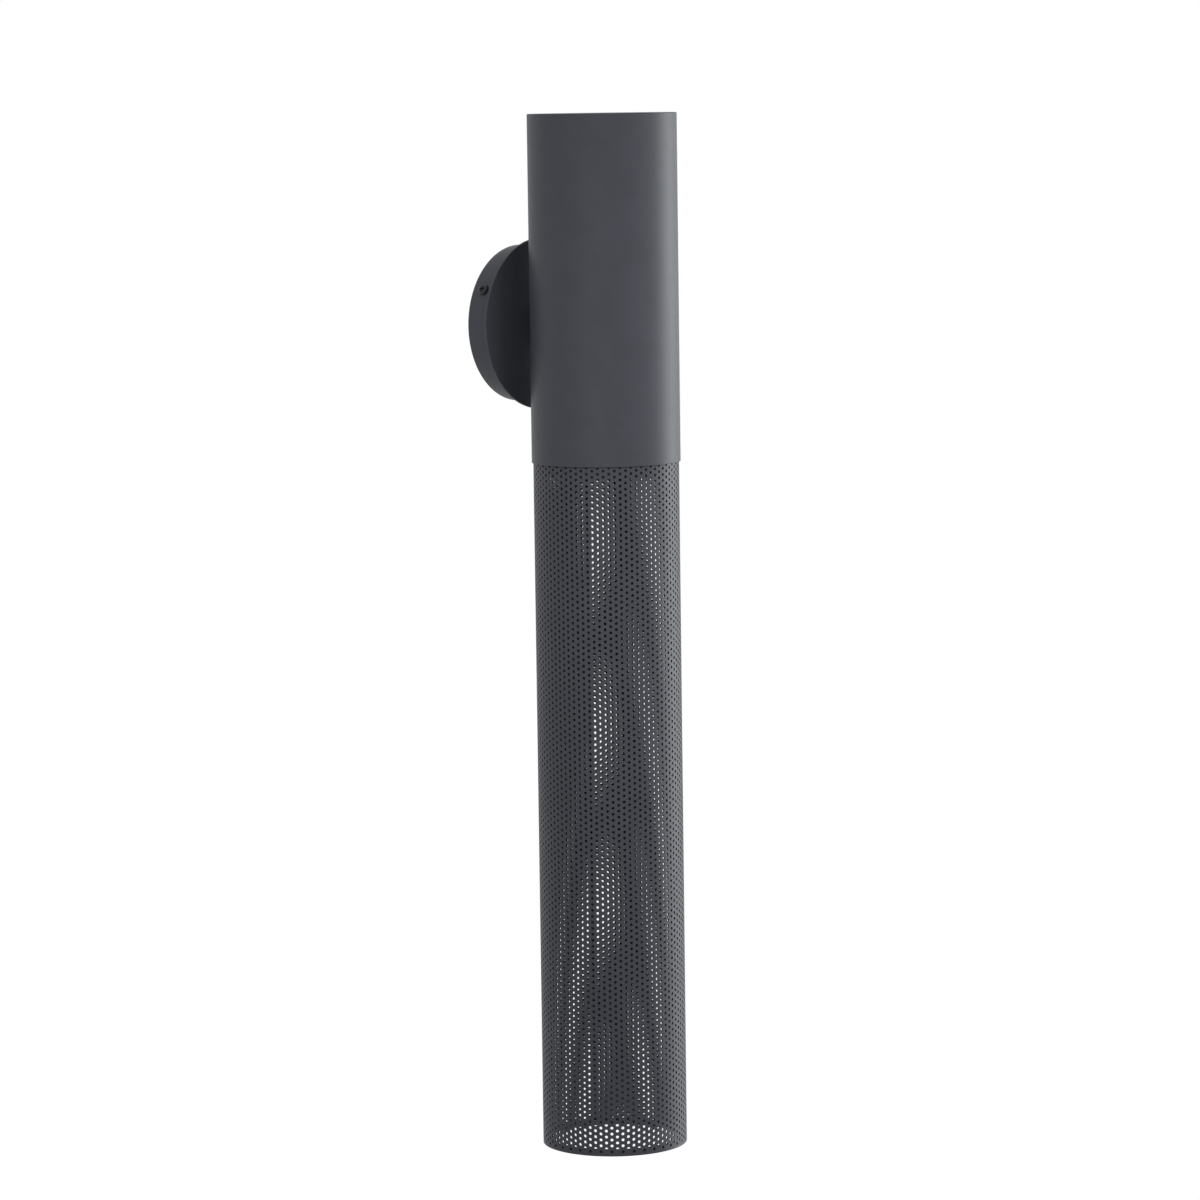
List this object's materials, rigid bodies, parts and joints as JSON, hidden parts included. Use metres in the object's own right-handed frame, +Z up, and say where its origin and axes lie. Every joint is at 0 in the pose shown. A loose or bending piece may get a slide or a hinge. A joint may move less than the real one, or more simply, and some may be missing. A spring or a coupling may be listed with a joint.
{
  "type": "outdoor wall sconce",
  "caption": "Upright cylindrical outdoor wall light: plain tube above, perforated open-ended tube below, on a short neck and round wall canopy.",
  "frame": {"origin": "centre of the canopy's back on the wall plane, midway between the wall bracket's two slots", "axes": "+Z up along the tube, +Y into the wall, the sconce stands out towards -Y, +X to the right seen from the front"},
  "size_m": [0.118, 0.1275, 0.7114],
  "materials": {
    "powder_coat": "fine matt powder coat",
    "black_screw": "black plated",
    "plated_steel": "zinc plated",
    "earth_green": "green plated",
    "seal_rubber": "moulded",
    "porcelain": "glazed porcelain",
    "contact_brass": "plain brass",
    "cap_nickel": "nickel plated",
    "lamp_white": "satin white",
    "lamp_black": "black glass",
    "lamp_front": "frosted",
    "nylon": "natural nylon",
    "lead_black": "smooth insulation",
    "lead_white": "smooth insulation"
  },
  "bodies": {
    "fixture": {"wall_bracket": "plated_steel", "earth_screw": "earth_green", "canopy_drum": "powder_coat", "canopy_face": "powder_coat", "canopy_screws": "black_screw", "neck_seal": "seal_rubber", "neck_spacer": "powder_coat", "mounting_nipple": "plated_steel", "nipple_washers": "plated_steel", "nipple_nuts": "plated_steel", "lead_bushings": "nylon", "body_tube": "powder_coat", "top_cap": "powder_coat", "perforated_sleeve": "powder_coat", "sleeve_coupler": "powder_coat", "end_ring": "powder_coat", "sleeve_screws": "black_screw", "saddle_plate": "plated_steel", "angle_bracket": "plated_steel", "holder_nipple": "plated_steel", "holder_washer": "plated_steel", "holder_nut": "plated_steel", "lampholder": "porcelain", "screw_shell": "contact_brass", "centre_contact": "contact_brass", "terminal_block": "nylon", "terminal_screws": "contact_brass", "block_screw": "plated_steel", "live_lead": "lead_black", "neutral_lead": "lead_white"},
    "lamp": {"lamp_tip": "cap_nickel", "lamp_insulator": "lamp_black", "lamp_cap": "cap_nickel", "lamp_housing": "lamp_white", "lamp_lens": "lamp_front"}
  },
  "joints": [
    {"name": "lamp_turn", "type": "hinge", "parent": "fixture", "child": "lamp", "pos_m": [0, -0.0765, 0], "axis": [0, 0, -1], "range_deg": [0, 900]}
  ]
}
